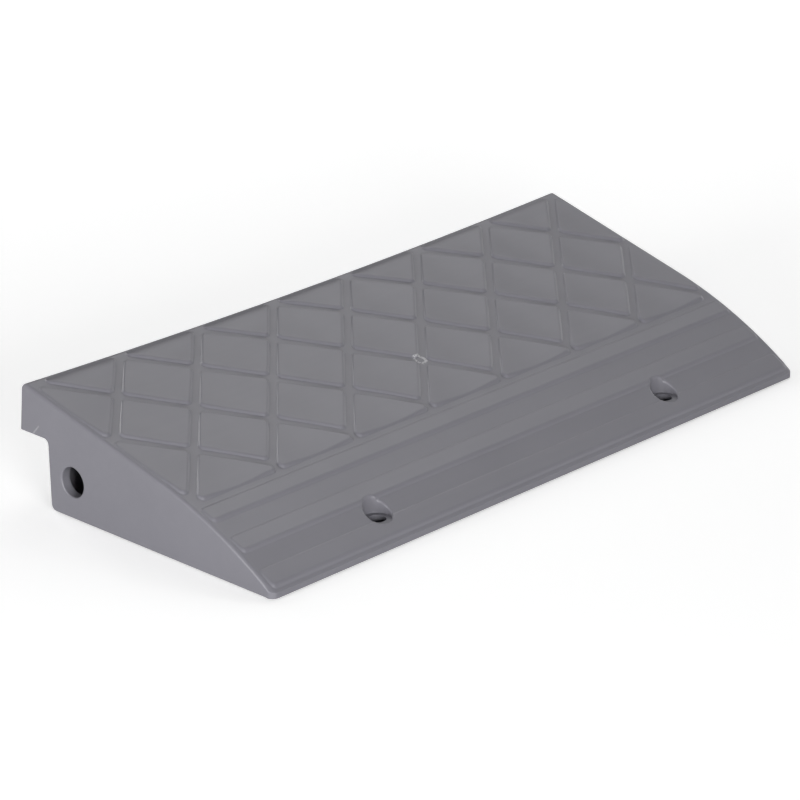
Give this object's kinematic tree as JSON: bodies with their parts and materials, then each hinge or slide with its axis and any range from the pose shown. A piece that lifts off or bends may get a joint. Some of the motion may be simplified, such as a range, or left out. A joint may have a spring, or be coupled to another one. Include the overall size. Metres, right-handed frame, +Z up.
{
  "type": "kerb ramp",
  "caption": "Moulded plastic kerb ramp: curved front, raised diamond pads, long grip ridges, overhanging rear lip, screw recesses, link holes in the ends and rubber feet.",
  "frame": {"origin": "middle of the object's box at the ground, under the feet", "axes": "+X along the kerb, +Y from the toe to the kerb, +Z up"},
  "size_m": [0.6, 0.27, 0.0983],
  "materials": {
    "ramp_plastic": "satin moulded polypropylene, mid grey",
    "foot_rubber": "matt black rubber"
  },
  "bodies": {
    "root": {"ramp_body": "ramp_plastic", "foot_front_left": "foot_rubber", "foot_front_centre": "foot_rubber", "foot_front_right": "foot_rubber", "foot_rear_left": "foot_rubber", "foot_rear_centre": "foot_rubber", "foot_rear_right": "foot_rubber"}
  },
  "joints": []
}
